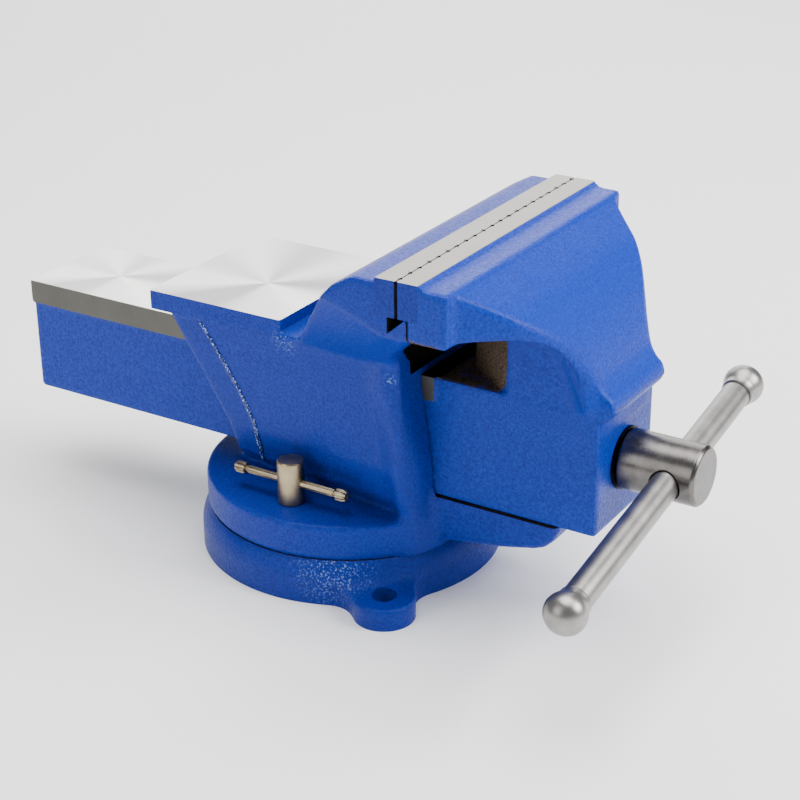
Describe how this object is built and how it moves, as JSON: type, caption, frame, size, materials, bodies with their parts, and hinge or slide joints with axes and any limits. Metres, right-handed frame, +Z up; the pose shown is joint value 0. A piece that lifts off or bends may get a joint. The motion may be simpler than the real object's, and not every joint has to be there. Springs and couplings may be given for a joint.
{
  "type": "bench vise",
  "caption": "Bench vise on a round swivel base: sliding front jaw driven by a lead screw with a sliding bar handle, anvil pad behind the fixed jaw, swivel lock bolts.",
  "frame": {"origin": "on the swivel axis, at the underside of the base plate", "axes": "+Z up along the swivel axis, +X along the lead screw towards the handle, +Y across the jaws"},
  "size_m": [0.335, 0.1831, 0.162],
  "materials": {
    "cast_paint_base": "gloss enamel with a fine hammered texture over cast iron",
    "cast_paint_body": "gloss enamel with a fine hammered texture over cast iron, with the anvil top milled bare",
    "cast_paint_jaw": "gloss enamel with a fine hammered texture over cast iron, with the slide's top and guide rails milled bare",
    "jaw_steel": "ground steel, serrated on the clamping face",
    "bright_steel": "turned and lightly brushed bright steel",
    "zinc_steel": "zinc plated steel, slightly warm",
    "black_steel": "oiled black oxide steel",
    "raw_iron": "bare machined cast iron"
  },
  "bodies": {
    "base": {"base_plate": "cast_paint_base"},
    "body": {"vise_body": "cast_paint_body", "fixed_jaw_plate": "jaw_steel", "fixed_plate_screws": "black_steel", "spindle_nut": "raw_iron", "nut_bolts": "black_steel", "pivot_bolt": "black_steel", "pivot_washer": "zinc_steel", "tee_nut_left": "black_steel", "tee_nut_right": "black_steel"},
    "jaw": {"movable_jaw": "cast_paint_jaw", "movable_jaw_plate": "jaw_steel", "movable_plate_screws": "black_steel"},
    "screw": {"lead_screw": "bright_steel", "thrust_washer": "black_steel", "spring_washer": "zinc_steel", "thrust_spring": "black_steel", "retaining_collar": "bright_steel", "collar_pin": "black_steel"},
    "handle": {"handle_bar": "bright_steel", "handle_knob_left": "bright_steel", "handle_knob_right": "bright_steel"},
    "lock_left": {"lock_bolt_left": "zinc_steel"},
    "lock_right": {"lock_bolt_right": "zinc_steel"},
    "bar_left": {"lock_bar_left": "zinc_steel"},
    "bar_right": {"lock_bar_right": "zinc_steel"}
  },
  "joints": [
    {"name": "swivel", "type": "hinge", "parent": "base", "child": "body", "pos_m": [0, 0, 0.02], "axis": [0, 0, 1], "continuous": true},
    {"name": "jaw_slide", "type": "slide", "parent": "body", "child": "jaw", "axis": [1, 0, 0], "range_m": [0, 0.125]},
    {"name": "screw_turn", "type": "hinge", "parent": "jaw", "child": "screw", "pos_m": [0.15, 0, 0.0725], "axis": [1, 0, 0], "range_deg": [0, 8964]},
    {"name": "handle_slide", "type": "slide", "parent": "screw", "child": "handle", "axis": [0, 0.9848, 0.1736], "range_m": [-0.044, 0.075]},
    {"name": "lock_turn_left", "type": "hinge", "parent": "body", "child": "lock_left", "pos_m": [0, -0.048, 0.0464], "axis": [0, 0, 1], "range_deg": [-10, 10]},
    {"name": "lock_turn_right", "type": "hinge", "parent": "body", "child": "lock_right", "pos_m": [0, 0.048, 0.0464], "axis": [0, 0, 1], "range_deg": [-10, 10]},
    {"name": "bar_slide_left", "type": "slide", "parent": "lock_left", "child": "bar_left", "axis": [1, 0, 0], "range_m": [-0.008, 0.008]},
    {"name": "bar_slide_right", "type": "slide", "parent": "lock_right", "child": "bar_right", "axis": [1, 0, 0], "range_m": [-0.008, 0.008]}
  ],
  "couplings": [
    {"joint": "jaw_slide", "follows": "screw_turn", "m_per_rad": 0.00079577}
  ]
}
